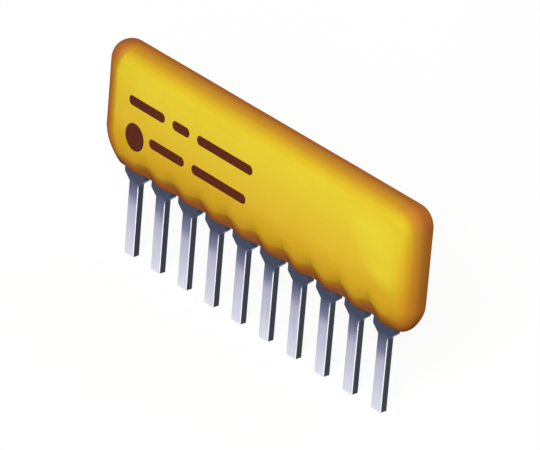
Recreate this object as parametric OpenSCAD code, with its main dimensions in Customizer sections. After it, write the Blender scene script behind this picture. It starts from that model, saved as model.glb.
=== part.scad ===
// Single-in-line resistor network: a ceramic plate with printed resistors, a row of clip-on leads
// and a dipped epoxy coat whose lower edge runs down into a lobe round each lead.
// X runs along the lead row, Z points up and the printed face looks along -Y.
// The origin is the middle of the lead row on the seating plane, where the shoulders stop on the board.

/* [Lead row] */
// Number of leads, in pairs that each serve one resistor
lead_count = 10; // [4:2:14]
// Distance between neighbouring leads
lead_pitch = 2.54; // [2.1:0.01:3.2]
// Width of a lead below its shoulder
lead_w = 0.87; // [0.4:0.01:1]
// Thickness of the lead sheet
lead_t = 0.49; // [0.3:0.01:0.6]
// Length of a lead below the seating plane
lead_l = 4.83; // [2.5:0.01:8]

/* [Lead shoulder and fork] */
// Width of the shoulder
shoulder_w = 1.88; // [1.4:0.01:2]
// Height over which the lead widens to its shoulder
shoulder_taper = 0.45; // [0.2:0.01:0.7]
// Height above the seating plane where the shoulder splits into three tines
fork_z = 1.75; // [1.6:0.01:2]
// Height over which the tines bend out to the two faces of the plate
fork_bend = 0.6; // [0.45:0.01:0.8]
// Width of the middle tine
mid_tine_w = 0.52; // [0.4:0.01:0.65]
// Width of the slit on each side of the middle tine
tine_slit = 0.08; // [0.05:0.01:0.15]
// Height of the straight grip on the plate
tine_grip = 1.3; // [0.9:0.01:1.7]
// Bevel on the outer edge of a tine's tip
tine_bevel = 0.15; // [0.05:0.01:0.25]

/* [Ceramic plate] */
// Height of the plate
plate_h = 5.6; // [5.2:0.01:9]
// Thickness of the plate
plate_t = 0.64; // [0.45:0.01:0.8]

/* [Printed films] */
// Width of the solder land at the foot of a terminal
land_w = 1.3; // [1.25:0.01:1.6]
// Height of the solder land
land_h = 2.1; // [1.95:0.01:2.4]
// Gap from the plate's lower edge to the land
land_edge = 0.12; // [0.05:0.01:0.3]
// Width of the track that runs from the land up to a resistor
track_w = 0.5; // [0.3:0.01:0.8]
// Thickness of the conductor film
conductor_t = 0.03; // [0.02:0.01:0.06]
// Height of a resistor film
resistor_h = 2.3; // [1.2:0.01:2.6]
// Gap from the plate's upper edge to the resistor films
resistor_edge = 0.6; // [0.45:0.01:0.8]
// Length of the resistor film that lies on each track
film_lap = 0.25; // [0.1:0.01:0.29]
// Thickness of the resistor film
film_t = 0.03; // [0.02:0.01:0.06]
// Width of the trimming cut in a resistor film
trim_w = 0.08; // [0.04:0.01:0.15]
// Length of each leg of the trimming cut
trim_l = 0.9; // [0.4:0.01:1]
// Margin of the glaze round a resistor film
glaze_margin = 0.2; // [0.1:0.01:0.4]
// Thickness of the glaze over a resistor film
glaze_t = 0.04; // [0.02:0.01:0.08]

/* [Solder] */
// Radius of the solder mound on a land
solder_r = 0.6; // [0.5:0.01:0.62]

/* [Epoxy coat] */
// Thickness of the coat from face to face
coat_t = 2.4; // [2.1:0.01:3]
// Coat above the upper edge of the plate
coat_over = 0.94; // [0.6:0.01:1.5]
// Coat past each end of the plate
coat_end = 1.3; // [0.9:0.01:2]
// Radius of the upper corners inside the rounded rim
crown_r = 0.2; // [0.1:0.01:1]
// Radius of the lower corners inside the rounded rim
foot_r = 0.9; // [0.5:0.01:1.3]

/* [Foot of the coat] */
// Depth of the rounded slab's outline below the lobes
foot_drop = 0.15; // [0.05:0.01:0.3]
// Height at which the first crease between lobes runs out into the faces of the coat
crease_first = 2.5; // [2.5:0.01:3.2]
// Height at which the last crease between lobes runs out into the faces of the coat
crease_last = 3.1; // [2.5:0.01:3.2]
// Height of the web's lower edge between the lobes
web_low = 0.82; // [0.78:0.01:1.1]
// Radius of the web's lower edge
web_r = 0.3; // [0.26:0.01:0.4]
// Angle by which the web's thin lower stretch leans out from upright
web_lean = 14; // [8:0.5:20]
// Angle by which the web's upper stretch flares out to the faces
web_flare = 36; // [30:0.5:42]
// Height of the lobes' lowest points above the seating plane
lobe_low = 0.75; // [0.65:0.01:0.8]
// Radius of a lobe's tip
lobe_r = 0.75; // [0.7:0.01:0.85]
// Angle by which a lobe's flanks lean out from upright
lobe_lean = 29; // [27:0.5:34]
// Length by which the first lobe runs on past its lead
first_run = 0.9; // [0.7:0.01:1.6]
// Length by which the last lobe runs on past its lead
last_run = 1.55; // [0.7:0.01:1.6]

/* [Hidden] */
$fn = 64;
// Overlap that carries a cut past the face it opens
past = 1;
// Swell by which a drop's round tip stands out of its flanks
tip_swell = 0.01;
// Width by which the web passes each face of the coat where a crease runs out
web_past = 0.02;
// Height by which the foot runs on inside the full thickness of the coat
foot_cover = 0.2;

pair_count = lead_count / 2;
plate_l = lead_count * lead_pitch;
plate_z = fork_z + fork_bend;
plate_top = plate_z + plate_h;
grip_top = plate_z + tine_grip;

plate_face = plate_t / 2;
land_face = plate_face + conductor_t;
film_face = land_face + film_t;
glaze_face = film_face + glaze_t;

land_z = plate_z + land_edge;
resistor_top = plate_top - resistor_edge;
resistor_z = resistor_top - resistor_h;
resistor_half = (lead_pitch - track_w) / 2 + film_lap;

rim_r = coat_t / 2;
coat_half = plate_l / 2 + coat_end;
coat_top = plate_top + coat_over;
coat_low = lobe_low - foot_drop;
foot_full = max(crease_first, crease_last);
foot_top = foot_full + foot_cover;

function two_digits(i) = str(i < 10 ? "0" : "", i);
function lead_x(i) = (i - (lead_count + 1) / 2) * lead_pitch;
function pair_x(p) = (lead_x(2 * p - 1) + lead_x(2 * p)) / 2;
function crease_top(i) = crease_first + (crease_last - crease_first) * (i - 1) / (lead_count - 2);
function lead_name(i) = str("lead_pin_", two_digits(i));
function land_name(i) = str("terminal_pad_", two_digits(i));
function solder_name(i) = str("solder_joint_", two_digits(i));
function film_name(p) = str("resistor_film_", p);
function glaze_name(p) = str("overglaze_", p);

// Turns a front view, drawn in X and Z, into a solid between two depths in front of the middle plane
module front_slab(depth_from, depth_to) {
    translate([0, -depth_from, 0])
        rotate([90, 0, 0])
            linear_extrude(height = depth_to - depth_from)
                children();
}

// Turns a side view, drawn in Y and Z, into a solid of the given width
module side_slab(width) {
    rotate([90, 0, 90])
        linear_extrude(height = width, center = true)
            children();
}

// Half section of a full-round rim: a straight stretch that ends in a half circle
module rim_section(straight, r) {
    translate([0, -r])
        square([straight, 2 * r]);
    translate([straight, 0])
        intersection() {
            circle(r);
            translate([0, -r])
                square([r, 2 * r]);
        }
}

// Corner of a plate with a full-round rim, from its first quarter turn
module rim_corner(corner_r, r, start) {
    rotate([90, 0, 0])
        rotate([0, 0, start])
            rotate_extrude(angle = 90)
                rim_section(corner_r, r);
}

// Straight edge of a plate with a full-round rim, running along its own X axis with the rim on top
module rim_edge(straight, r, length) {
    rotate([90, 0, 0])
        rotate([0, 90, 0])
            linear_extrude(height = length, center = true)
                rotate(90)
                    rim_section(straight, r);
}

// Dipped slab with a full-round rim and larger corners at its foot
module coat_slab() {
    half = coat_half - rim_r;
    low = coat_low + rim_r;
    high = coat_top - rim_r;
    core_low = low + foot_r;
    core_high = high - crown_r;
    core_half = half - foot_r;
    side_h = core_high - core_low;

    translate([-core_half, -rim_r, core_low])
        cube([2 * core_half, 2 * rim_r, side_h]);
    translate([0, 0, core_high])
        rim_edge(crown_r, rim_r, 2 * (half - crown_r));
    translate([0, 0, core_low])
        mirror([0, 0, 1])
            rim_edge(foot_r, rim_r, 2 * core_half);
    for (side = [0, 1])
        mirror([side, 0, 0]) {
            translate([core_half, 0, (core_low + core_high) / 2])
                rotate([0, 90, 0])
                    rim_edge(foot_r, rim_r, side_h);
            translate([half - crown_r, 0, core_high])
                rim_corner(crown_r, rim_r, 0);
            translate([core_half, 0, core_low])
                rim_corner(foot_r, rim_r, 270);
        }
}

// Half section of a drop: a round tip with straight flanks that lean out from upright
module drop_section(tip_r, low, lean) {
    tip_z = low + tip_r;
    touch_w = tip_r * cos(lean);
    touch_z = tip_z - tip_r * sin(lean);
    intersection() {
        translate([0, tip_z])
            circle(tip_r + tip_swell);
        translate([0, low - tip_r])
            square([2 * tip_r, 3 * tip_r]);
    }
    polygon([
        [0, touch_z],
        [touch_w, touch_z],
        [touch_w + (foot_top - touch_z) * tan(lean), foot_top],
        [0, foot_top]
    ]);
}

// Half section of the web: a thin drop below, and a wedge that flares out to the coat's face
module web_section(top) {
    edge = rim_r + web_past;
    drop_section(web_r, web_low, web_lean);
    polygon([
        [0, top - edge / tan(web_flare)],
        [edge, top],
        [edge, foot_top],
        [0, foot_top]
    ]);
}

// Straight stretch of a section and its mirror image, between two places along the row
module stretch(from, to) {
    translate([(from + to) / 2, 0, 0])
        side_slab(to - from)
            for (side = [0, 1])
                mirror([side, 0])
                    children();
}

// Web in the bay between a lead and the next one
module web(i) {
    stretch(lead_x(i), lead_x(i + 1))
        web_section(crease_top(i));
}

module lobe_section() {
    drop_section(lobe_r, lobe_low, lobe_lean);
}

// Run of coat round one lead that stops halfway to its neighbours, or past the end of the row
module lobe(i) {
    left_run = i == 1 ? first_run : 0;
    right_run = i == lead_count ? last_run : 0;
    axes = left_run + right_run > 0 ? [-left_run, right_run] : [0];
    left_stop = i == 1 ? coat_half : lead_pitch / 2;
    right_stop = i == lead_count ? coat_half : lead_pitch / 2;
    translate([lead_x(i), 0, 0])
        intersection() {
            union() {
                for (x = axes)
                    translate([x, 0, 0])
                        rotate_extrude()
                            lobe_section();
                if (len(axes) > 1)
                    stretch(-left_run, right_run)
                        lobe_section();
            }
            translate([-left_stop, -coat_t, 0])
                cube([left_stop + right_stop, 2 * coat_t, foot_top]);
        }
}

// Full thickness of the coat above its foot
module full_coat() {
    translate([-coat_half, -coat_t, foot_full])
        cube([2 * coat_half, 2 * coat_t, coat_top]);
}

// Side view of a tine that bends from the middle plane to one face of the plate
module tine_side(offset_y) {
    out = sign(offset_y);
    half = lead_t / 2;
    polygon([
        [-out * half, fork_z],
        [out * half, fork_z],
        [offset_y + out * half, plate_z],
        [offset_y + out * half, grip_top - tine_bevel],
        [offset_y + out * (half - tine_bevel), grip_top],
        [offset_y - out * half, grip_top],
        [offset_y - out * half, plate_z]
    ]);
}

// Lead at the middle of the row: leg, tapered shoulder and a fork with one tine in front and two behind
module lead_solid() {
    outer_w = shoulder_w / 2 - mid_tine_w / 2 - tine_slit;
    front_slab(-lead_t / 2, lead_t / 2)
        polygon([
            [-lead_w / 2, -lead_l],
            [lead_w / 2, -lead_l],
            [lead_w / 2, 0],
            [shoulder_w / 2, shoulder_taper],
            [shoulder_w / 2, fork_z],
            [-shoulder_w / 2, fork_z],
            [-shoulder_w / 2, shoulder_taper],
            [-lead_w / 2, 0]
        ]);
    side_slab(mid_tine_w)
        tine_side(-(land_face + lead_t / 2));
    for (side = [-1, 1])
        translate([side * (shoulder_w - outer_w) / 2, 0, 0])
            side_slab(outer_w)
                tine_side(plate_face + lead_t / 2);
}

// Front view of a terminal at the middle of the row: land and track
module terminal_front() {
    translate([-land_w / 2, land_z])
        square([land_w, land_h]);
    translate([-track_w / 2, land_z])
        square([track_w, resistor_top - land_z]);
}

module terminal_solid(i) {
    translate([lead_x(i), 0, 0])
        front_slab(plate_face, land_face)
            terminal_front();
}

// Block over one resistor, grown by a margin, up to a depth in front of the middle plane
module film_block(p, margin, depth) {
    half = resistor_half + margin;
    translate([pair_x(p), 0, 0])
        front_slab(plate_face, depth)
            translate([-half, resistor_z - margin])
                square([2 * half, resistor_h + 2 * margin]);
}

// Trimming cut: up from the lower edge of the film, then along it
module trim_cut(p) {
    translate([pair_x(p), 0, 0])
        front_slab(plate_face - past, film_face + past) {
            translate([-trim_l / 2, resistor_z - past])
                square([trim_w, trim_l + past]);
            translate([-trim_l / 2, resistor_z + trim_l - trim_w])
                square([trim_l, trim_w]);
        }
}

module film_solid(p) {
    difference() {
        film_block(p, 0, film_face);
        terminal_solid(2 * p - 1);
        terminal_solid(2 * p);
        trim_cut(p);
    }
}

// Mound of solder over the middle tine, standing on its land
module solder_mound(i) {
    translate([lead_x(i), 0, 0])
        intersection() {
            translate([0, -land_face, grip_top])
                sphere(solder_r);
            translate([-past, -land_face - past, grip_top - past])
                cube([2 * past, past, 2 * past]);
        }
}

module plate_solid() {
    translate([-plate_l / 2, -plate_face, plate_z])
        cube([plate_l, plate_t, plate_h]);
}

module epoxy_coat() {
    color("goldenrod")
        difference() {
            intersection() {
                coat_slab();
                union() {
                    full_coat();
                    for (i = [1:lead_count - 1])
                        web(i);
                    for (i = [1:lead_count])
                        lobe(i);
                }
            }
            plate_solid();
            for (i = [1:lead_count]) {
                terminal_solid(i);
                solder_mound(i);
                translate([lead_x(i), 0, 0])
                    lead_solid();
            }
            for (p = [1:pair_count])
                film_block(p, glaze_margin, glaze_face);
        }
}

module ceramic_substrate() {
    color("ivory")
        plate_solid();
}

module lead_pin(i) {
    color("slategray")
        translate([lead_x(i), 0, 0])
            lead_solid();
}

module terminal_pad(i) {
    color("silver")
        terminal_solid(i);
}

module solder_joint(i) {
    color("lightsteelblue")
        difference() {
            solder_mound(i);
            translate([lead_x(i), 0, 0])
                lead_solid();
        }
}

module resistor_film(p) {
    color("dimgray")
        film_solid(p);
}

module overglaze(p) {
    color("darkolivegreen")
        difference() {
            film_block(p, glaze_margin, glaze_face);
            terminal_solid(2 * p - 1);
            terminal_solid(2 * p);
            film_solid(p);
        }
}

epoxy_coat();
ceramic_substrate();
for (i = [1:lead_count]) {
    lead_pin(i);
    terminal_pad(i);
    solder_joint(i);
}
for (p = [1:pair_count]) {
    resistor_film(p);
    overglaze(p);
}
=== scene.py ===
"""Looks of a single-in-line resistor network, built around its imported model."""

import math

import bmesh
import bpy
import numpy as np
from bpy.props import FloatProperty, FloatVectorProperty, PointerProperty
from mathutils import Matrix, Vector


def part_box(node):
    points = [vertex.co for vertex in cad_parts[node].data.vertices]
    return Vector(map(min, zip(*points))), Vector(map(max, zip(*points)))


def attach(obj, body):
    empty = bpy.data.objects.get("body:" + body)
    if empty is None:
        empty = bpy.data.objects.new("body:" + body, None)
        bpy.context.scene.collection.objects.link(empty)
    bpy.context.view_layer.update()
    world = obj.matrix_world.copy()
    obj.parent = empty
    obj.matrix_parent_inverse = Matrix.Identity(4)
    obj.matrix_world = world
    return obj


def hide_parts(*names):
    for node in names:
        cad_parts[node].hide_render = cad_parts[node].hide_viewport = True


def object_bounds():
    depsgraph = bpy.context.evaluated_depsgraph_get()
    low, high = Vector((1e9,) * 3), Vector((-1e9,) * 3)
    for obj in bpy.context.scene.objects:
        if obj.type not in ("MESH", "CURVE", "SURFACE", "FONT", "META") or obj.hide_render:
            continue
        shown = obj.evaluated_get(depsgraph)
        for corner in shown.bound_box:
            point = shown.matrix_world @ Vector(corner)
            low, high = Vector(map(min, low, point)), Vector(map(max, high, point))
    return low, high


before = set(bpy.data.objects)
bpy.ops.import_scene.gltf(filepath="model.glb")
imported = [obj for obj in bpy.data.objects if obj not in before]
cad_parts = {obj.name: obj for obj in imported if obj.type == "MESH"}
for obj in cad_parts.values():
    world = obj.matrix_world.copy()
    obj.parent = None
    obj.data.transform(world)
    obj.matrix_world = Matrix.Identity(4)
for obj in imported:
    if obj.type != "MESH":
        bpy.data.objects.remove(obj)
CAD_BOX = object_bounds()

bl_info = {
    "name": "Resistor network",
    "version": (1, 0, 0),
    "blender": (4, 5, 0),
    "location": "View3D > Sidebar > Network",
    "description": "Dresses the packed resistor network: coat, leads, ink, inner pieces and stage",
    "category": "Object",
}

MM = 0.001
BODY = "root"

COAT_NODE = "epoxy_coat"
LEAD_NODES = sorted(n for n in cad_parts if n.startswith("lead_pin_"))
COAT_LOW, COAT_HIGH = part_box(COAT_NODE)
LEAD_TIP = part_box(LEAD_NODES[0])[0].z
LEAD_X = np.array([(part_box(n)[0].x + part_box(n)[1].x) / 2 for n in LEAD_NODES])
LEAD_PITCH = (LEAD_X[-1] - LEAD_X[0]) / (len(LEAD_X) - 1)

# Plain marks in two rows, as (left, right) along the row in mm
UPPER_ROW = ((-11.3, -7.9), (-7.2, -5.6), (-4.9, 0.2))
LOWER_ROW = ((-9.2, -5.9), (-5.2, -0.2))

# Steps and rings of an ink film, the power by which its edge runs out, and the gap that welding closes
CAP_STEPS = 40
SIDE_STEPS = 20
FILM_RINGS = 8
FILM_EDGE = 12
FILM_WELD = 0.0005 * MM

# Mesh of the coat: cells left free round its box, rounds of smoothing, and the least squared slope
# that a step on to the surface divides by
MARGIN_CELLS = 2.5
SMOOTH_ROUNDS = 3
LEAST_SLOPE = 1e-9

# Search for the coat's front: how far out it begins, as a share of the half thickness, and its halvings
SEARCH_START = 1.2
SEARCH_HALVINGS = 40

# Powers by which the coat's swollen faces fall off along the row, upwards and through its thickness,
# and the limit of that fall
SWELL_ALONG = 8
SWELL_UP = 4
SWELL_THROUGH = 4
SWELL_LIMIT = 1.5

# Slow waves of the coat, as turns in radians per metre along the row and upwards, and their starts
SHORT_WAVE = (900, 1150)
SHORT_START = (1.3, 0.4)
LONG_WAVE = (420, -610)
LONG_START = 0.7

# Stamped leads: gap that welding closes, turns that count as flat and as sharp, height of the last bevel
LEAD_WELD = 0.002 * MM
FLAT_TURN = math.radians(2)
SHARP_TURN = math.radians(20)
BEVEL_TOP = 1.8 * MM

# Parts of a noise's span: the one that holds most of it, and the one that shows as grain
NOISE_SPAN = (0.3, 0.7)
GRAIN_SPAN = (0.35, 0.7)

# Depth of the coat's tone, painted shade with a random drift: the span that its colours fill, and how far
# it and the roughness drift
TONE_SPAN = 2.0
TONE_DRIFT = 0.015
ROUGH_DRIFT = 0.04

# Tone of the rim, painted shade that deepens as the rim turns away: its slopes past the middle and down to
# the back, the limit that rises to the ridge, its deepest tone, and the share of the foot's painted shade
# that it covers
RIM_OVER = 2.5
RIM_BEHIND = 1.8
RIDGE_RISE = 0.6
RIDGE_DEPTH = 0.96
RIM_DEEPEST = 1.24
RIM_COVER = 0.7

# Painted shade of the foot, and painted shade of the face above it that grows towards the foot. A pair
# holds where a tone begins and where it is full, and heights are above the seat
FOOT_HEIGHTS = (1.98 * MM, 1.05 * MM)
FOOT_DEPTH = 1.22
FOOT_ENDS = (COAT_LOW.x + 1.0 * MM, COAT_HIGH.x - 1.0 * MM)
FOOT_GROWTH = (0.93, 1.07)
FACE_SHADE_HEIGHTS = (4.6 * MM, 1.9 * MM)
FACE_SHADE_DEPTH = 0.2

# Humps of the foot's painted shade, as (length before the lead, height), and the ends where they run out
NEAR_HUMP = (0.15 * MM, 0.36 * MM)
FAR_HUMP = (1.15 * MM, 0.17 * MM)
HUMPS_FIRST = (LEAD_X[0] - 0.97 * MM, LEAD_X[0] + 1.23 * MM)
HUMPS_LAST = (LEAD_X[-1] + 1.47 * MM, LEAD_X[-1] + 0.87 * MM)

# Stretch between the ends, low on the coat, where the foot's painted shade stands in for the rim's
BARE_ALONG = (COAT_HIGH.x - 1.1 * MM, COAT_HIGH.x - 1.8 * MM)
BARE_HEIGHTS = (3.4 * MM, 2.8 * MM)

# Painted shade on the end at the first lead, which is straight between two heights and bends in beyond them
END_ALONG = (COAT_LOW.x + 1.55 * MM, COAT_LOW.x + 0.65 * MM)
END_STRAIGHT = (3.2 * MM, 7.3 * MM)
END_BEND = 0.4
END_DEPTH = 1.2

# Painted shade that the upper corner at the last lead adds to its rim
CORNER_ALONG = (COAT_HIGH.x - 2.2 * MM, COAT_HIGH.x - 1.0 * MM)
CORNER_HEIGHTS = (COAT_HIGH.z - 1.99 * MM, COAT_HIGH.z - 0.69 * MM)
CORNER_RIM = (0.2, 0.55)
CORNER_DEPTH = 0.26

# Warm tint of the faces, painted shade on their lower part that fades upwards and leaves the upper part
# lighter as a painted highlight: height where its fade begins, the fade's length and power, and its loss
# with depth
WARM_HEIGHT = 3.0 * MM
WARM_FADE = 4.7 * MM
WARM_CURVE = 1.6
WARM_LOSS = 0.65

# Painted highlight at the last lead, a pale patch: its edge slants up to the left, and is given where it
# meets the seat
HIGHLIGHT_EDGE = (COAT_HIGH.x - 0.8 * MM, COAT_HIGH.x + 1.2 * MM)
HIGHLIGHT_SLANT = 0.8
HIGHLIGHT_END = (COAT_HIGH.x - 0.8 * MM, COAT_HIGH.x - 1.6 * MM)
HIGHLIGHT_HEIGHTS = (3.0 * MM, 4.2 * MM)
HIGHLIGHT_SHARE = 0.85

# Tin of the leads, with painted reflection and shade that darken it towards the shoulder: height where they
# go into the coat, share of that height where the shoulder begins, and how far a surface faces the front or
# the back where the painted highlight on the edges begins and ends and where the cut sides, dark partly as
# painted shade, begin
TIN_TOP = COAT_LOW.z + 0.16 * MM
LEG_TOP = (0.86, 0.78)
EDGE_BEGIN = (0.45, 0.6)
EDGE_END = (0.96, 0.85)
SIDE_BEGIN = (0.55, 0.4)

# Finish of the tin: metal, roughness, blotches, and streaks drawn out along the lead
TIN_METAL = 0.6
TIN_ROUGH = (0.28, 0.44)
BLOTCH = (-0.02, 0.02)
STREAK_STRETCH = (1.0, 1.0, 0.06)
STREAK_SPAN = (0.4, 0.75)
STREAK_SHARE = (0.0, 0.12)

# Finish of the ink, of the fired or cast pieces and of the floor
INK_ROUGH = (0.5, 0.65)
INK_SPECK = 1.5
GRAIN_ROUGH = 0.15
FLOOR_GRAIN = 0.99

# Lamps as (name, diameter in metres, direction from the part), all at one distance
LAMPS = (
    ("key", 0.30, (0.50, -0.68, 0.54)),
    ("fill", 0.24, (0.20, -0.97, 0.12)),
    ("back", 0.30, (0.02, 0.99, 0.12)),
)
LAMP_DISTANCE = 0.55

# Floor and camera, in metres, apart from the sensor's width in mm
FLOOR_HALF = 3.0
FLOOR_CELLS = 8
SENSOR_WIDTH = 36.0
CLIP_NEAR = 0.01
CLIP_FAR = 10.0

# Colour sockets of Blender's mix node
MIX_A = 6
MIX_B = 7
MIX_RESULT = 2


def length(name, description, default):
    """Property for a length in metres."""
    return FloatProperty(
        name=name, description=description, default=default, subtype="DISTANCE", unit="LENGTH", precision=6
    )


def angle(name, description, degrees):
    """Property for an angle."""
    return FloatProperty(
        name=name, description=description, default=math.radians(degrees), subtype="ANGLE", unit="ROTATION"
    )


def factor(name, description, default):
    """Property for a share from 0 to 1."""
    return FloatProperty(
        name=name, description=description, default=default, subtype="FACTOR", min=0, max=1
    )


def colour(name, description, default):
    """Property for a colour."""
    return FloatVectorProperty(
        name=name, description=description, default=default, subtype="COLOR", size=3, min=0, max=1
    )


def power(name, description, watts):
    """Property for the power of a lamp."""
    return FloatProperty(name=name, description=description, default=watts, min=0, unit="POWER")


def strength(name, description, default):
    """Property for a brightness."""
    return FloatProperty(name=name, description=description, default=default, min=0)


class CoatSettings(bpy.types.PropertyGroup):
    """Shape and colours of the dipped epoxy coat"""

    step: length("Mesh step", "Size of the mesh cells on the coat", 0.08 * MM)
    ink_room: length("Ink room", "Depth of the faces below the packed box, where the ink lies", 0.012 * MM)
    crown_r: length("Crown radius", "Radius of the upper corners inside the rim", 0.2 * MM)
    foot_r: length("Foot radius", "Radius of the lower corners inside the rim", 0.9 * MM)
    foot_drop: length("Foot drop", "Depth of the rounded outline below the lobes", 0.15 * MM)
    crease_first: length("First crease", "Height at which the first crease runs out", 2.35 * MM)
    crease_last: length("Last crease", "Height at which the last crease runs out", 2.8 * MM)
    web_low: length("Web edge", "Height of the web's lower edge", 0.82 * MM)
    web_r: length("Web radius", "Radius of the web's lower edge", 0.3 * MM)
    web_lean: angle("Web lean", "Angle by which the web's thin stretch leans out", 14)
    web_flare: angle("Web flare", "Angle by which the web flares out to the faces", 33)
    web_bend: length("Web bend", "Width over which the web's two stretches flow into each other", 0.3 * MM)
    lobe_r: length("Lobe radius", "Radius of a lobe's tip", 0.75 * MM)
    lobe_lean: angle("Lobe lean", "Angle by which a lobe's flanks lean out", 29)
    lobe_shift: length("Lobe shift", "Length by which the lobes lie to the right of their leads", 0.2 * MM)
    lobe_skew: factor("Lobe skew", "Share of the height by which the lobes move on to the right", 0.17)
    first_run: length("First run", "Length by which the first lobe runs on past its lead", 0.9 * MM)
    last_run: length("Last run", "Length by which the last lobe runs on past its lead", 1.55 * MM)
    fillet: length("Fillet", "Width over which lobes and web flow into each other", 0.6 * MM)
    roll_in: length("Roll-in", "Width over which the faces roll into the foot", 0.35 * MM)
    wave: length("Wave", "Height of the slow waves that dipping leaves", 0.004 * MM)
    swell: length("Swell", "Height by which the faces swell in the middle", 0.08 * MM)
    pale: colour("Pale", "Colour of the faces where the coat is palest", (0.82, 0.66, 0.04))
    # From gold down the list, these colours are painted shade: they deepen over the rim as it turns away,
    # on the tips of the lobes and under the web
    gold: colour("Gold", "Colour of the faces next to the rim", (0.725, 0.525, 0.024))
    honey: colour("Honey", "Colour where the rim begins to turn", (0.62, 0.39, 0.02))
    amber: colour("Amber", "Colour halfway over the rim", (0.555, 0.275, 0.02))
    copper: colour("Copper", "Colour most of the way over the rim", (0.525, 0.222, 0.024))
    russet_shade: colour("Rust", "Colour at the middle of the rim", (0.45, 0.14, 0.027))
    bark: colour("Bark", "Deep colour on the tips of the lobes", (0.22, 0.095, 0.042))
    deepest_shade: colour("Soot", "Darkest colour, under the web", (0.11, 0.07, 0.045))
    # Painted shade on the lower faces, which leaves their upper part lighter as a painted highlight
    warm: colour("Warm", "Tint that deepens the lower part of the faces", (0.92, 0.725, 0.8))
    roughness: factor("Roughness", "Roughness of the coat", 0.36)


class LeadSettings(bpy.types.PropertyGroup):
    """Edges and colours of the tinned leads"""

    edge: length("Edge", "Width of the bevel that stamping leaves on the lead's edges", 0.085 * MM)
    # From pale tin to slate, the tin's colours are painted reflection and painted shade that darken it
    # towards the shoulder under the coat
    pale: colour("Pale tin", "Colour of the tin at the lead's tip", (0.74, 0.755, 0.86))
    mid: colour("Mid tin", "Colour of the tin halfway up", (0.46, 0.45, 0.60))
    dusk: colour("Dusk", "Colour of the tin just below the shoulder", (0.17, 0.185, 0.31))
    slate: colour("Slate", "Colour of the tin at the shoulder", (0.030, 0.044, 0.090))
    # Cut sides: dark partly as bare sheared metal and partly as painted shade
    sheared_and_shaded: colour("Sheared edge", "Colour of the cut sides of the sheet", (0.026, 0.032, 0.048))
    # Painted highlight along the bevelled edges
    edge_highlight: colour("Burnish", "Colour of the rounded edges", (0.95, 0.96, 1.0))


class InkSettings(bpy.types.PropertyGroup):
    """Shape and colour of the printed marks"""

    thickness: length("Thickness", "Thickness of the ink film", 0.008 * MM)
    dot_x: length("Dot place", "Place of the dot along the row", -10.57 * MM)
    dot_z: length("Dot height", "Height of the dot", 3.61 * MM)
    dot_r: length("Dot radius", "Radius of the dot", 0.88 * MM)
    upper_z: length("Upper row", "Height of the upper row of marks", 5.88 * MM)
    lower_z: length("Lower row", "Height of the lower row of marks", 3.85 * MM)
    mark_h: length("Mark height", "Height of a mark", 0.62 * MM)
    ink: colour("Ink", "Colour of the ink", (0.085, 0.015, 0.006))


class InsideSettings(bpy.types.PropertyGroup):
    """Colours of the pieces that the coat seals in"""

    ceramic: colour("Ceramic", "Colour of the alumina plate", (0.82, 0.80, 0.74))
    conductor: colour("Conductor", "Colour of the printed conductor", (0.56, 0.54, 0.49))
    solder: colour("Solder", "Colour of the solder", (0.50, 0.51, 0.54))
    resistor: colour("Resistor", "Colour of the resistor film", (0.012, 0.012, 0.014))
    glaze: colour("Glaze", "Colour of the glaze", (0.02, 0.09, 0.04))


class StageSettings(bpy.types.PropertyGroup):
    """Camera, lamps and floor"""

    azimuth: angle("Azimuth", "Camera's turn round the row from the front", 48.158)
    elevation: angle("Elevation", "Camera's height angle", 26.398)
    roll: angle("Roll", "Camera's roll", 4.846)
    distance: length("Distance", "Camera's distance from the row", 320.0 * MM)
    side: length("Side", "Camera's offset to its right", 0.679 * MM)
    lift: length("Lift", "Camera's offset upwards", 1.843 * MM)
    lens: FloatProperty(
        name="Lens",
        description="Focal length in millimetres",
        default=365.427,
        subtype="DISTANCE_CAMERA",
        unit="CAMERA",
    )
    key: power("Key light", "Power of the large lamp", 2.2)
    fill: power("Fill light", "Power of the fill lamp", 0.9)
    back: power("Back light", "Power of the lamp behind", 1.5)
    sky: strength("Sky", "Strength of the plain sky", 0.4)
    floor: colour("Floor", "Colour of the floor", (0.15, 0.15, 0.15))
    glow: strength("Floor glow", "Brightness that the floor adds for the eye", 0.875)


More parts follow.
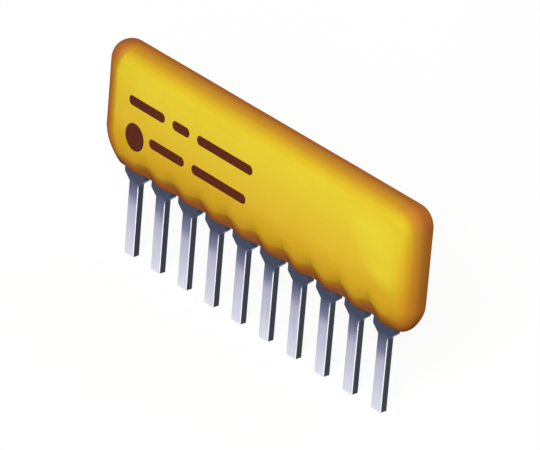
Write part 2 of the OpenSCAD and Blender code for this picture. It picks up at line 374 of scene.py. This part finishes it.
class Shader:
    """Short calls for laying out a node material"""

    def __init__(self, name):
        self.material = bpy.data.materials.new(name)
        self.material.use_nodes = True
        self.tree = self.material.node_tree
        self.tree.nodes.clear()
        self.output = self.add("ShaderNodeOutputMaterial")

    def add(self, kind, **values):
        node = self.tree.nodes.new(kind)
        for key, value in values.items():
            setattr(node, key, value)
        return node

    def link(self, source, target):
        self.tree.links.new(source, target)

    def put(self, socket, value):
        """Links a socket to a socket, or sets a plain number or colour on it."""
        if isinstance(value, bpy.types.NodeSocket):
            self.link(value, socket)
        elif hasattr(value, "__len__"):
            socket.default_value = (*value, 1.0)
        else:
            socket.default_value = value

    def math(self, operation, *values, clamp=False):
        node = self.add("ShaderNodeMath", operation=operation, use_clamp=clamp)
        for socket, value in zip(node.inputs, values):
            self.put(socket, value)
        return node.outputs[0]

    def span(self, value, places, results=(0.0, 1.0)):
        """Value that moves smoothly from one result to the other between two places."""
        node = self.add("ShaderNodeMapRange", interpolation_type="SMOOTHSTEP")
        self.put(node.inputs["Value"], value)
        node.inputs["From Min"].default_value, node.inputs["From Max"].default_value = places
        node.inputs["To Min"].default_value, node.inputs["To Max"].default_value = results
        return node.outputs["Result"]

    def mix(self, share, a, b, blend="MIX"):
        node = self.add("ShaderNodeMix", data_type="RGBA", blend_type=blend)
        self.put(node.inputs["Factor"], share)
        self.put(node.inputs[MIX_A], a)
        self.put(node.inputs[MIX_B], b)
        return node.outputs[MIX_RESULT]

    def ramp(self, value, stops):
        """Colour that moves through stops of (place, colour), with places from 0 to 1."""
        node = self.add("ShaderNodeValToRGB")
        self.put(node.inputs["Fac"], value)
        elements = node.color_ramp.elements
        while len(elements) < len(stops):
            elements.new(0.5)
        for element, (place, tone) in zip(elements, stops):
            element.position = place
            element.color = (*tone, 1.0)
        return node.outputs["Color"]

    def noise(self, place, scale, detail, roughness):
        node = self.add("ShaderNodeTexNoise")
        self.put(node.inputs["Vector"], place)
        node.inputs["Scale"].default_value = scale
        node.inputs["Detail"].default_value = detail
        node.inputs["Roughness"].default_value = roughness
        return node.outputs["Fac"]

    def stretch(self, place, scale):
        node = self.add("ShaderNodeMapping")
        self.put(node.inputs["Vector"], place)
        node.inputs["Scale"].default_value = scale
        return node.outputs["Vector"]

    def coordinates(self):
        """Place, and the parts of the place and of the normal, in the row's frame."""
        source = self.add("ShaderNodeTexCoord").outputs
        return source["Object"], self.parts(source["Object"]), self.parts(source["Normal"])

    def parts(self, vector):
        """Parts X, Y and Z of a vector."""
        node = self.add("ShaderNodeSeparateXYZ")
        self.link(vector, node.inputs["Vector"])
        return node.outputs

    def place(self):
        """Place in the row's frame."""
        return self.add("ShaderNodeTexCoord").outputs["Object"]

    def bump(self, height, strength, distance):
        node = self.add("ShaderNodeBump")
        node.inputs["Strength"].default_value = strength
        node.inputs["Distance"].default_value = distance
        self.put(node.inputs["Height"], height)
        return node.outputs["Normal"]

    def surface(self, **values):
        """Material with the given sockets, whose names have underscores for spaces."""
        node = self.add("ShaderNodeBsdfPrincipled")
        for key, value in values.items():
            self.put(node.inputs[key.replace("_", " ")], value)
        self.link(node.outputs["BSDF"], self.output.inputs["Surface"])
        return self.material


def times(tone, amount):
    """Colour made lighter or darker."""
    return tuple(c * amount for c in tone)


def rim_tone(s, at, normal):
    """Depth of painted shade on the rim, which darkens as it turns away: 0 on the faces, 1 at its middle
    and a little more behind its top.
    """
    over = s.math("MULTIPLY_ADD", normal["Y"], RIM_OVER, 1.0)
    front = s.math("MAXIMUM", s.math("ADD", normal["Y"], 1.0), over)
    behind = s.math("MULTIPLY", s.math("SUBTRACT", 1.0, normal["Y"]), RIM_BEHIND)
    ridge = s.math("MULTIPLY_ADD", normal["Z"], RIDGE_RISE, RIDGE_DEPTH)
    turned = s.math("MINIMUM", s.math("MINIMUM", front, behind), ridge)
    below = s.math("SUBTRACT", 1.0, s.math("DIVIDE", s.math("ABSOLUTE", at["Y"]), COAT_HIGH.y))
    between = s.span(s.math("ABSOLUTE", at["X"]), BARE_ALONG)
    bare = s.math("MULTIPLY", between, s.span(at["Z"], BARE_HEIGHTS))
    return s.math("MULTIPLY", s.math("MAXIMUM", turned, below), s.math("SUBTRACT", 1.0, bare))


def hump(s, at, before, height):
    """Smooth hump that comes back before each lead of the row."""
    turn = 2 * math.pi / LEAD_PITCH
    wave = s.math("COSINE", s.math("MULTIPLY_ADD", at["X"], turn, turn * (before - LEAD_X[0])))
    return s.math("MULTIPLY", s.math("POWER", s.math("MULTIPLY_ADD", wave, 0.5, 0.5), 2.0), height)


def foot_tone(s, at):
    """Depth of painted shade on the foot and the face above it, which climbs at each lead and deepens
    towards the last one.
    """
    humps = s.math("ADD", hump(s, at, *NEAR_HUMP), hump(s, at, *FAR_HUMP))
    inside = s.math("MULTIPLY", s.span(at["X"], HUMPS_FIRST), s.span(at["X"], HUMPS_LAST))
    height = s.math("SUBTRACT", at["Z"], s.math("MULTIPLY", humps, inside))
    lobes = s.span(height, FOOT_HEIGHTS, (0.0, FOOT_DEPTH))
    lobes = s.math("MULTIPLY", lobes, s.span(at["X"], FOOT_ENDS, FOOT_GROWTH))
    return s.math("ADD", lobes, s.span(at["Z"], FACE_SHADE_HEIGHTS, (0.0, FACE_SHADE_DEPTH)))


def end_tone(s, at):
    """Depth of painted shade on the end at the first lead."""
    under = s.math("SUBTRACT", END_STRAIGHT[0], at["Z"])
    above = s.math("SUBTRACT", at["Z"], END_STRAIGHT[1])
    beyond = s.math("MAXIMUM", s.math("MAXIMUM", under, above), 0.0)
    return s.span(s.math("MULTIPLY_ADD", beyond, -END_BEND, at["X"]), END_ALONG, (0.0, END_DEPTH))


def corner_tone(s, at, rim):
    """Depth of painted shade that the upper corner at the last lead adds to its rim."""
    near = s.math("MULTIPLY", s.span(at["X"], CORNER_ALONG), s.span(at["Z"], CORNER_HEIGHTS))
    return s.math("MULTIPLY", near, s.span(rim, CORNER_RIM, (0.0, CORNER_DEPTH)))


def warm_share(s, at, depth):
    """Share of the warm tint, painted shade that fades upwards, where the tone is deep and in the painted
    highlight at the last lead; the upper faces are left lighter as a painted highlight.
    """
    climb = s.math("DIVIDE", s.math("SUBTRACT", at["Z"], WARM_HEIGHT), WARM_FADE, clamp=True)
    lower = s.math("SUBTRACT", 1.0, s.math("POWER", climb, WARM_CURVE))
    shallow = s.math("MULTIPLY_ADD", depth, -WARM_LOSS, 1.0, clamp=True)
    # Painted highlight: a pale patch at the last lead, where the warm tint is held back
    slant = s.math("MULTIPLY_ADD", at["Z"], HIGHLIGHT_SLANT, at["X"])
    highlight = s.math("MULTIPLY", s.span(slant, HIGHLIGHT_EDGE), s.span(at["X"], HIGHLIGHT_END))
    highlight = s.math("MULTIPLY", highlight, s.span(at["Z"], HIGHLIGHT_HEIGHTS))
    outside = s.math("MULTIPLY_ADD", highlight, -HIGHLIGHT_SHARE, 1.0)
    return s.math("MULTIPLY", s.math("MULTIPLY", lower, shallow), outside)


def epoxy_material(settings):
    """Gold coat with painted shade that deepens it through amber to brown over its rim and down its foot.
    """
    s = Shader("dipped_epoxy")
    place, at, normal = s.coordinates()
    clouds = s.noise(place, scale=420.0, detail=4.0, roughness=0.55)
    peel = s.noise(place, scale=1500.0, detail=2.0, roughness=0.5)
    # Painted shade: the tone deepens over the rim, at the upper corner, on the foot and at the end at the
    # first lead
    rim = rim_tone(s, at, normal)
    turned = s.math("MINIMUM", s.math("ADD", rim, corner_tone(s, at, rim)), RIM_DEEPEST)
    lower = s.math("ADD", foot_tone(s, at), end_tone(s, at))
    lower = s.math("MULTIPLY", lower, s.math("MULTIPLY_ADD", rim, -RIM_COVER, 1.0))
    drift = s.span(clouds, NOISE_SPAN, (-TONE_DRIFT, TONE_DRIFT))
    depth = s.math("ADD", s.math("ADD", turned, lower), drift)
    tones = (
        (0.02, settings.pale),
        (0.13, settings.gold),
        (0.28, settings.honey),
        (0.49, settings.amber),
        (0.78, settings.copper),
        (1.25, settings.russet_shade),
        (1.6, settings.bark),
        (1.9, settings.deepest_shade),
    )
    shade = s.ramp(s.math("DIVIDE", depth, TONE_SPAN), [(deep / TONE_SPAN, tone) for deep, tone in tones])
    rough = settings.roughness
    return s.surface(
        Base_Color=s.mix(warm_share(s, at, depth), shade, settings.warm, "MULTIPLY"),
        Roughness=s.span(clouds, NOISE_SPAN, (rough - ROUGH_DRIFT, rough + ROUGH_DRIFT)),
        Specular_IOR_Level=0.0,
        Normal=s.bump(peel, strength=0.05, distance=0.02 * MM),
    )


def tin_material(settings):
    """Tin with painted reflection and shade that darken it from the lead's tip to its shoulder, a painted
    highlight on its edges and dark cut sides, partly painted shade.
    """
    s = Shader("tinned_lead")
    place, at, normal = s.coordinates()
    drawn = s.noise(s.stretch(place, STREAK_STRETCH), scale=9000.0, detail=4.0, roughness=0.6)
    blotch = s.noise(place, scale=900.0, detail=3.0, roughness=0.55)
    # Painted reflection and shade: the tin darkens from the tip up to the shoulder
    height = s.math("DIVIDE", s.math("SUBTRACT", at["Z"], LEAD_TIP), TIN_TOP - LEAD_TIP)
    height = s.math("ADD", height, s.span(blotch, NOISE_SPAN, BLOTCH))
    tones = (
        (0.0, settings.pale),
        (0.56, settings.mid),
        (0.70, settings.dusk),
        (0.88, settings.slate),
    )
    tin = s.mix(s.span(drawn, STREAK_SPAN, STREAK_SHARE), s.ramp(height, tones), settings.slate)
    facing = s.math("ABSOLUTE", normal["Y"])
    leg = s.span(height, LEG_TOP)
    # Painted highlight on the edge bevels, which lose their metal where it lies
    edge = s.math("MULTIPLY", s.span(facing, EDGE_BEGIN), s.span(facing, EDGE_END))
    bright = s.math("MULTIPLY", edge, leg)
    # Cut sides, dark partly as bare sheared metal and partly as painted shade
    cut = s.mix(leg, settings.slate, settings.sheared_and_shaded)
    return s.surface(
        Base_Color=s.mix(s.span(facing, SIDE_BEGIN), s.mix(bright, tin, settings.edge_highlight), cut),
        Metallic=s.math("MULTIPLY_ADD", bright, -TIN_METAL, TIN_METAL),
        Roughness=s.span(drawn, NOISE_SPAN, TIN_ROUGH),
        Normal=s.bump(drawn, strength=0.08, distance=0.01 * MM),
    )


def ink_material(settings):
    """Dull ink with fine paler specks."""
    s = Shader("marking_ink")
    speck = s.noise(s.place(), scale=5200.0, detail=3.0, roughness=0.6)
    return s.surface(
        Base_Color=s.mix(s.span(speck, GRAIN_SPAN), settings.ink, times(settings.ink, INK_SPECK)),
        Roughness=s.span(speck, NOISE_SPAN, INK_ROUGH),
        Specular_IOR_Level=0.05,
        Normal=s.bump(speck, strength=0.1, distance=0.004 * MM),
    )


def grain_material(name, tone, amount, scale, rough, **values):
    """Fired or cast surface with a fine grain between a tone and that tone times an amount."""
    s = Shader(name)
    grain = s.noise(s.place(), scale, detail=4.0, roughness=0.6)
    return s.surface(
        Base_Color=s.mix(s.span(grain, GRAIN_SPAN), tone, times(tone, amount)),
        Roughness=s.span(grain, NOISE_SPAN, (rough, rough + GRAIN_ROUGH)),
        Normal=s.bump(grain, strength=0.15, distance=0.01 * MM),
        **values,
    )


def floor_material(settings):
    """Pale floor that takes shadows and looks white to the eye and in reflections."""
    s = Shader("pale_floor")
    grain = s.noise(s.place(), scale=60.0, detail=3.0, roughness=0.5)
    diffuse = s.add("ShaderNodeBsdfDiffuse")
    tone = s.mix(s.span(grain, NOISE_SPAN), settings.floor, times(settings.floor, FLOOR_GRAIN))
    s.link(tone, diffuse.inputs["Color"])
    path = s.add("ShaderNodeLightPath")
    seen = s.math("ADD", path.outputs["Is Camera Ray"], path.outputs["Is Glossy Ray"])
    seen = s.math("ADD", seen, path.outputs["Is Transmission Ray"], clamp=True)
    glow = s.add("ShaderNodeEmission")
    s.link(s.math("MULTIPLY", seen, settings.glow), glow.inputs["Strength"])
    both = s.add("ShaderNodeAddShader")
    s.link(diffuse.outputs[0], both.inputs[0])
    s.link(glow.outputs[0], both.inputs[1])
    s.link(both.outputs[0], s.output.inputs["Surface"])
    return s.material


def smooth_min(a, b, width):
    """Smaller of two values, with a round passage of the given width."""
    share = np.clip(1 - np.abs(a - b) / width, 0, None)
    return np.minimum(a, b) - share * share * width / 4


def smooth_max(a, b, width):
    """Larger of two values, with a round passage of the given width."""
    return -smooth_min(-a, -b, width)


def drop_distance(out, z, tip_r, low, lean):
    """Distance to a drop: a round tip with straight flanks that lean out from upright."""
    rise = z - low - tip_r
    flank = out * math.cos(lean) - rise * math.sin(lean) - tip_r
    on_flank = out * math.sin(lean) + rise * math.cos(lean) >= 0
    return np.where(on_flank, flank, np.hypot(out, rise) - tip_r)


class CoatForm:
    """Distance to the coat's outside, below zero inside it."""

    def __init__(self, settings):
        self.settings = settings
        self.rim = COAT_HIGH.y - settings.ink_room
        self.half_x = COAT_HIGH.x - self.rim
        low = COAT_LOW.z - settings.foot_drop + self.rim
        high = COAT_HIGH.z - self.rim
        self.mid_z = (low + high) / 2
        self.half_z = (high - low) / 2

    def slab(self, x, y, z):
        """Plate with a full-round rim, round corners and faces that fall off from a swollen middle."""
        corner = np.where(z > self.mid_z, self.settings.crown_r, self.settings.foot_r)
        over_x = np.abs(x) - (self.half_x - corner)
        over_z = np.abs(z - self.mid_z) - (self.half_z - corner)
        outside = np.hypot(np.maximum(over_x, 0), np.maximum(over_z, 0))
        outline = outside + np.minimum(np.maximum(over_x, over_z), 0) - corner
        fall = (x / self.half_x) ** SWELL_ALONG + ((z - self.mid_z) / self.half_z) ** SWELL_UP
        flatness = np.clip(np.abs(y) / self.rim, 0, 1) ** SWELL_THROUGH
        swell = self.settings.swell * np.minimum(fall, SWELL_LIMIT) * flatness
        return np.hypot(np.maximum(outline, 0), y) - self.rim + swell

    def web(self, x, y, z, shift):
        """Thin sheet between the leads, which flares out to the faces at the creases."""
        s = self.settings
        thin = drop_distance(np.abs(y), z, s.web_r, s.web_low, s.web_lean)
        last_bay = len(LEAD_X) - 2
        bay = np.clip((x - shift - LEAD_X[0]) / LEAD_PITCH - 0.5, 0, last_bay)
        crease = s.crease_first + (s.crease_last - s.crease_first) * bay / last_bay
        wedge = (np.abs(y) - self.rim) * math.cos(s.web_flare) - (z - crease) * math.sin(s.web_flare)
        return np.maximum(smooth_min(thin, wedge, s.web_bend), np.abs(x) - LEAD_X[-1])

    def lobes(self, x, y, z, shift):
        """Drops round the leads, of which the first and the last run on towards the ends."""
        s = self.settings
        moved = x - shift
        nearest = np.clip(np.rint((moved - LEAD_X[0]) / LEAD_PITCH), 0, len(LEAD_X) - 1)
        past = np.where(x < 0, LEAD_X[0] - moved, moved - LEAD_X[-1])
        run = np.clip(past, 0, np.where(x < 0, s.first_run + shift, s.last_run - shift))
        aside = np.where(past > 0, past - run, moved - LEAD_X[0] - nearest * LEAD_PITCH)
        return drop_distance(np.hypot(aside, y), z, s.lobe_r, COAT_LOW.z, s.lobe_lean)

    def foot(self, x, y, z):
        """Web and lobes in one, below the top of the creases."""
        s = self.settings
        shift = s.lobe_shift + s.lobe_skew * (z - s.web_low)
        joined = smooth_min(self.web(x, y, z, shift), self.lobes(x, y, z, shift), s.fillet)
        return np.minimum(joined, max(s.crease_first, s.crease_last) - z)

    def waves(self, x, y, z):
        """Slow waves, which differ on the two faces."""
        short_x = np.sin(x * SHORT_WAVE[0] + SHORT_START[0])
        short_z = np.sin(z * SHORT_WAVE[1] + SHORT_START[1])
        long = np.sin(x * LONG_WAVE[0] + z * LONG_WAVE[1] + np.sign(y) * LONG_START)
        return self.settings.wave * (1 + (short_x * short_z + long) / 2)

    def __call__(self, x, y, z):
        whole = smooth_max(self.slab(x, y, z), self.foot(x, y, z), self.settings.roll_in)
        return whole + self.waves(x, y, z)

    def slope(self, p, reach=1e-6):
        """Slope of the distance at the given points."""
        steps = np.eye(3) * reach
        return np.stack([self(*(p + e).T) - self(*(p - e).T) for e in steps], axis=-1) / (2 * reach)

    def settle(self, p):
        """Points moved on to the surface."""
        g = self.slope(p)
        return p - (self(*p.T) / np.maximum((g * g).sum(1), LEAST_SLOPE))[:, None] * g

    def front(self, x, z):
        """Place of the front face through the coat's thickness, at the given places and heights."""
        outer = np.full_like(x, COAT_LOW.y * SEARCH_START)
        inner = np.zeros_like(x)
        for _ in range(SEARCH_HALVINGS):
            middle = (outer + inner) / 2
            inside = self(x, middle, z) < 0
            inner = np.where(inside, middle, inner)
            outer = np.where(inside, outer, middle)
        return (outer + inner) / 2


def cut_of(cuts):
    """Index of a grid that cuts the given axes and keeps the others whole."""
    return tuple(cuts.get(axis, slice(None)) for axis in range(3))


def cell_mesh(form, low, high, step):
    """Quads of the surface where the form is zero, one point to each cell that it crosses."""
    axes = [np.arange(a, b + step, step) for a, b in zip(low, high)]
    grid = np.stack(np.meshgrid(*axes, indexing="ij"), axis=-1)
    value = form(grid[..., 0], grid[..., 1], grid[..., 2])
    cells = np.array(value.shape) - 1
    total = np.zeros((*cells, 3))
    count = np.zeros(cells)
    crossed = []
    for a in range(3):
        b, c = (a + 1) % 3, (a + 2) % 3
        near = cut_of({a: slice(0, -1)})
        far = cut_of({a: slice(1, None)})
        cross = (value[near] < 0) != (value[far] < 0)
        share = np.where(cross, value[near] / np.where(cross, value[near] - value[far], 1), 0)
        point = grid[near].copy()
        point[..., a] += share * step
        crossed.append((b, c, cross, value[near] < 0))
        for i, j in ((0, 0), (0, 1), (1, 0), (1, 1)):
            part = cut_of({b: slice(i, i + cells[b]), c: slice(j, j + cells[c])})
            total += np.where(cross[part][..., None], point[part], 0)
            count += cross[part]
    used = count > 0
    index = np.full(cells, -1)
    index[used] = np.arange(used.sum())
    faces = [cell_quads(index, *edges) for edges in crossed]
    return total[used] / count[used][:, None], np.concatenate(faces)


def cell_quads(index, b, c, cross, rising):
    """Quads round the crossed edges of one direction, from the points of the four cells at each."""
    inner = cut_of({b: slice(1, -1), c: slice(1, -1)})
    where = np.argwhere(cross[inner])
    up = rising[inner][tuple(where.T)]
    corners = []
    for i, j in ((0, 0), (1, 0), (1, 1), (0, 1)):
        cell = where.copy()
        cell[:, b] += i
        cell[:, c] += j
        corners.append(index[tuple(cell.T)])
    quads = np.stack(corners, axis=1)
    return np.where(up[:, None], quads, quads[:, ::-1])


def relaxed(points, faces):
    """Each point moved halfway to the middle of its neighbours."""
    total = np.zeros_like(points)
    count = np.zeros(len(points))
    for k in range(4):
        for other in (faces[:, (k + 1) % 4], faces[:, (k + 3) % 4]):
            np.add.at(total, faces[:, k], points[other])
            np.add.at(count, faces[:, k], 1)
    return (points + total / count[:, None]) / 2


def mesh_from(name, points, faces):
    """Smooth mesh of the given points and faces."""
    mesh = bpy.data.meshes.new(name)
    mesh.from_pydata([tuple(p) for p in points], [], [tuple(int(i) for i in f) for f in faces])
    mesh.update()
    mesh.polygons.foreach_set("use_smooth", [True] * len(mesh.polygons))
    return mesh


def add_piece(name, mesh, material, replaced=()):
    """Visual piece on the part's body."""
    mesh.materials.clear()
    mesh.materials.append(material)
    piece = bpy.data.objects.new(name, mesh)
    bpy.context.scene.collection.objects.link(piece)
    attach(piece, BODY)
    if replaced:
        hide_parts(*replaced)


class RESNET_OT_coat(bpy.types.Operator):
    """Make the dipped coat with its lobed foot"""

    bl_idname = "resnet.coat"
    bl_label = "Epoxy coat"

    def execute(self, context):
        settings = context.scene.resnet_coat
        form = CoatForm(settings)
        margin = MARGIN_CELLS * settings.step
        low = [c - margin for c in COAT_LOW]
        high = [c + margin for c in COAT_HIGH]
        points, faces = cell_mesh(form, low, high, settings.step)
        for _ in range(SMOOTH_ROUNDS):
            points = form.settle(relaxed(points, faces))
        mesh = mesh_from("coat", form.settle(points), faces)
        add_piece("coat", mesh, epoxy_material(settings), [COAT_NODE])
        return {"FINISHED"}


class RESNET_OT_leads(bpy.types.Operator):
    """Round the edges of the leads and tin them"""

    bl_idname = "resnet.leads"
    bl_label = "Leads"

    def execute(self, context):
        settings = context.scene.resnet_leads
        material = tin_material(settings)
        for node in LEAD_NODES:
            mesh = self.stamped(node, settings.edge)
            add_piece("tinned_" + node, mesh, material, [node])
        return {"FINISHED"}

    def stamped(self, node, edge):
        """Copy of a lead's mesh with bevels on the sharp edges that can be seen."""
        work = bmesh.new()
        work.from_mesh(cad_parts[node].data)
        bmesh.ops.remove_doubles(work, verts=work.verts, dist=LEAD_WELD)
        bmesh.ops.dissolve_limit(work, angle_limit=FLAT_TURN, verts=work.verts, edges=work.edges)
        sharp = [
            e for e in work.edges
            if len(e.link_faces) == 2 and e.calc_face_angle(0) > SHARP_TURN
            and max(v.co.z for v in e.verts) < BEVEL_TOP
        ]
        bmesh.ops.bevel(work, geom=sharp, offset=edge, segments=1, affect="EDGES", clamp_overlap=True)
        mesh = bpy.data.meshes.new("tinned_" + node)
        work.to_mesh(mesh)
        work.free()
        return mesh


class RESNET_OT_ink(bpy.types.Operator):
    """Print the dot and the plain marks on the front"""

    bl_idname = "resnet.ink"
    bl_label = "Ink marks"

    def execute(self, context):
        settings = context.scene.resnet_ink
        form = CoatForm(context.scene.resnet_coat)
        material = ink_material(settings)
        marks = [("ink_dot", settings.dot_x, settings.dot_x, settings.dot_z, settings.dot_r)]
        half = settings.mark_h / 2
        rows = (("upper", settings.upper_z, UPPER_ROW), ("lower", settings.lower_z, LOWER_ROW))
        for row, z, spans in rows:
            for k, (left, right) in enumerate(spans):
                marks.append((f"ink_{row}_{k + 1}", left * MM + half, right * MM - half, z, half))
        for name, left, right, z, radius in marks:
            points, faces = self.film(form, left, right, z, radius, settings.thickness)
            add_piece(name, self.welded(mesh_from(name, points, faces)), material)
        return {"FINISHED"}

    def film(self, form, left, right, z, radius, thickness):
        """Upper and lower side of a round-ended film that follows the coat and runs out at its edge."""
        cap = ((np.arange(CAP_STEPS) + 0.5) / CAP_STEPS - 0.5) * math.pi
        side = np.linspace(right, left, SIDE_STEPS) if right > left else np.empty(0)
        flat = np.zeros_like(side)
        spine = np.concatenate([np.full(CAP_STEPS, right), side, np.full(CAP_STEPS, left), side[::-1]])
        out_x = np.concatenate([np.cos(cap), flat, -np.cos(cap), flat]) * radius
        out_z = np.concatenate([np.sin(cap), flat + 1, -np.sin(cap), flat - 1]) * radius
        points = []
        faces = []
        count = len(spine)
        for lift in (-thickness, thickness / 2):
            for ring in range(FILM_RINGS + 1):
                share = ring / FILM_RINGS
                x = spine + out_x * share
                height = z + out_z * share
                y = form.front(x, height) + lift * (1 - share ** FILM_EDGE)
                start = len(points) * count
                points.append(np.stack([x, y, height], axis=-1))
                if ring == 0:
                    continue
                for i in range(count):
                    near = start + i
                    far = start + (i + 1) % count
                    faces.append((near - count, near, far, far - count))
        return np.concatenate(points), faces

    def welded(self, mesh):
        """Mesh with its two sides closed at the edge and all faces turned out."""
        work = bmesh.new()
        work.from_mesh(mesh)
        bmesh.ops.remove_doubles(work, verts=work.verts, dist=FILM_WELD)
        bmesh.ops.recalc_face_normals(work, faces=work.faces)
        work.to_mesh(mesh)
        work.free()
        return mesh


def dress(start, material):
    """Gives a material to all nodes whose names begin in the given way."""
    nodes = [node for name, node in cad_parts.items() if name.startswith(start)]
    if not nodes:
        raise RuntimeError("No node begins with " + start)
    for node in nodes:
        node.data.materials.clear()
        node.data.materials.append(material)


class RESNET_OT_plate(bpy.types.Operator):
    """Fire the alumina plate"""

    bl_idname = "resnet.plate"
    bl_label = "Alumina plate"

    def execute(self, context):
        tone = context.scene.resnet_inside.ceramic
        dress("ceramic_substrate", grain_material("alumina", tone, amount=0.93, scale=3800.0, rough=0.55))
        return {"FINISHED"}


class RESNET_OT_conductor(bpy.types.Operator):
    """Print the solder lands and tracks"""

    bl_idname = "resnet.conductor"
    bl_label = "Printed conductor"

    def execute(self, context):
        tone = context.scene.resnet_inside.conductor
        paste = grain_material("printed_conductor", tone, amount=0.8, scale=6500.0, rough=0.4, Metallic=0.8)
        dress("terminal_pad", paste)
        return {"FINISHED"}


class RESNET_OT_solder(bpy.types.Operator):
    """Solder the leads to their lands"""

    bl_idname = "resnet.solder"
    bl_label = "Solder"

    def execute(self, context):
        tone = context.scene.resnet_inside.solder
        solder = grain_material("solder", tone, amount=0.85, scale=2400.0, rough=0.25, Metallic=0.9)
        dress("solder_joint", solder)
        return {"FINISHED"}


class RESNET_OT_resistors(bpy.types.Operator):
    """Print the resistor films"""

    bl_idname = "resnet.resistors"
    bl_label = "Resistor films"

    def execute(self, context):
        tone = context.scene.resnet_inside.resistor
        dress("resistor_film", grain_material("resistor_paste", tone, amount=1.8, scale=5200.0, rough=0.6))
        return {"FINISHED"}


class RESNET_OT_glaze(bpy.types.Operator):
    """Fire the glaze over the resistor films"""

    bl_idname = "resnet.glaze"
    bl_label = "Glaze"

    def execute(self, context):
        tone = context.scene.resnet_inside.glaze
        glass = grain_material("green_glaze", tone, amount=0.75, scale=1800.0, rough=0.08, Coat_Weight=0.5)
        dress("overglaze", glass)
        return {"FINISHED"}


class RESNET_OT_stage(bpy.types.Operator):
    """Set the floor, the lamps, the sky and the camera"""

    bl_idname = "resnet.stage"
    bl_label = "Stage"

    def execute(self, context):
        scene = context.scene
        settings = scene.resnet_stage
        scene.view_settings.view_transform = "Standard"
        self.floor(scene, settings)
        for name, size, direction in LAMPS:
            self.lamp(scene, name, getattr(settings, name), size, direction)
        self.sky(scene, settings)
        self.camera(scene, settings)
        return {"FINISHED"}

    def floor(self, scene, settings):
        mesh = bpy.data.meshes.new("floor")
        work = bmesh.new()
        bmesh.ops.create_grid(work, x_segments=FLOOR_CELLS, y_segments=FLOOR_CELLS, size=FLOOR_HALF)
        work.to_mesh(mesh)
        work.free()
        mesh.materials.append(floor_material(settings))
        floor = bpy.data.objects.new("floor", mesh)
        floor.location.z = CAD_BOX[0].z
        scene.collection.objects.link(floor)

    def lamp(self, scene, name, watts, size, direction):
        data = bpy.data.lights.new(name, "AREA")
        data.shape = "DISK"
        data.size = size
        data.energy = watts
        lamp = bpy.data.objects.new(name, data)
        toward = Vector(direction).normalized()
        centre = (CAD_BOX[0] + CAD_BOX[1]) / 2
        lamp.location = centre + toward * LAMP_DISTANCE
        lamp.rotation_mode = "QUATERNION"
        lamp.rotation_quaternion = toward.to_track_quat("Z", "Y")
        scene.collection.objects.link(lamp)

    def sky(self, scene, settings):
        world = bpy.data.worlds.new("studio")
        world.use_nodes = True
        plain = world.node_tree.nodes["Background"]
        plain.inputs["Color"].default_value = (1.0, 1.0, 1.0, 1.0)
        plain.inputs["Strength"].default_value = settings.sky
        scene.world = world

    def camera(self, scene, settings):
        a, e, r = settings.azimuth, settings.elevation, settings.roll
        level = Vector((math.cos(a), math.sin(a), 0.0))
        back = Vector((math.sin(a) * math.cos(e), -math.cos(a) * math.cos(e), math.sin(e)))
        rise = back.cross(level)
        right = math.cos(r) * level + math.sin(r) * rise
        up = -math.sin(r) * level + math.cos(r) * rise
        data = bpy.data.cameras.new("camera")
        data.sensor_width = SENSOR_WIDTH
        data.lens = settings.lens
        data.clip_start = CLIP_NEAR
        data.clip_end = CLIP_FAR
        camera = bpy.data.objects.new("camera", data)
        camera.matrix_world = Matrix((right, up, back)).transposed().to_4x4()
        camera.location = right * settings.side + up * settings.lift + back * settings.distance
        scene.collection.objects.link(camera)
        scene.camera = camera


class RESNET_PT_panel(bpy.types.Panel):
    """Steps that dress the resistor network"""

    bl_idname = "RESNET_PT_panel"
    bl_label = "Resistor network"
    bl_space_type = "VIEW_3D"
    bl_region_type = "UI"
    bl_category = "Network"

    def draw(self, context):
        for operator in OPERATORS:
            self.layout.operator(operator.bl_idname)


GROUPS = {
    "resnet_coat": CoatSettings,
    "resnet_leads": LeadSettings,
    "resnet_ink": InkSettings,
    "resnet_inside": InsideSettings,
    "resnet_stage": StageSettings,
}
OPERATORS = (
    RESNET_OT_coat,
    RESNET_OT_leads,
    RESNET_OT_ink,
    RESNET_OT_plate,
    RESNET_OT_conductor,
    RESNET_OT_solder,
    RESNET_OT_resistors,
    RESNET_OT_glaze,
    RESNET_OT_stage,
)
CLASSES = (*GROUPS.values(), *OPERATORS, RESNET_PT_panel)


def register():
    for cls in CLASSES:
        bpy.utils.register_class(cls)
    for name, group in GROUPS.items():
        setattr(bpy.types.Scene, name, PointerProperty(type=group))


def unregister():
    for name in GROUPS:
        delattr(bpy.types.Scene, name)
    for cls in reversed(CLASSES):
        bpy.utils.unregister_class(cls)


def main():
    register()
    bpy.ops.resnet.coat()
    bpy.ops.resnet.leads()
    bpy.ops.resnet.ink()
    bpy.ops.resnet.plate()
    bpy.ops.resnet.conductor()
    bpy.ops.resnet.solder()
    bpy.ops.resnet.resistors()
    bpy.ops.resnet.glaze()
    bpy.ops.resnet.stage()


if __name__ == "__main__":
    main()
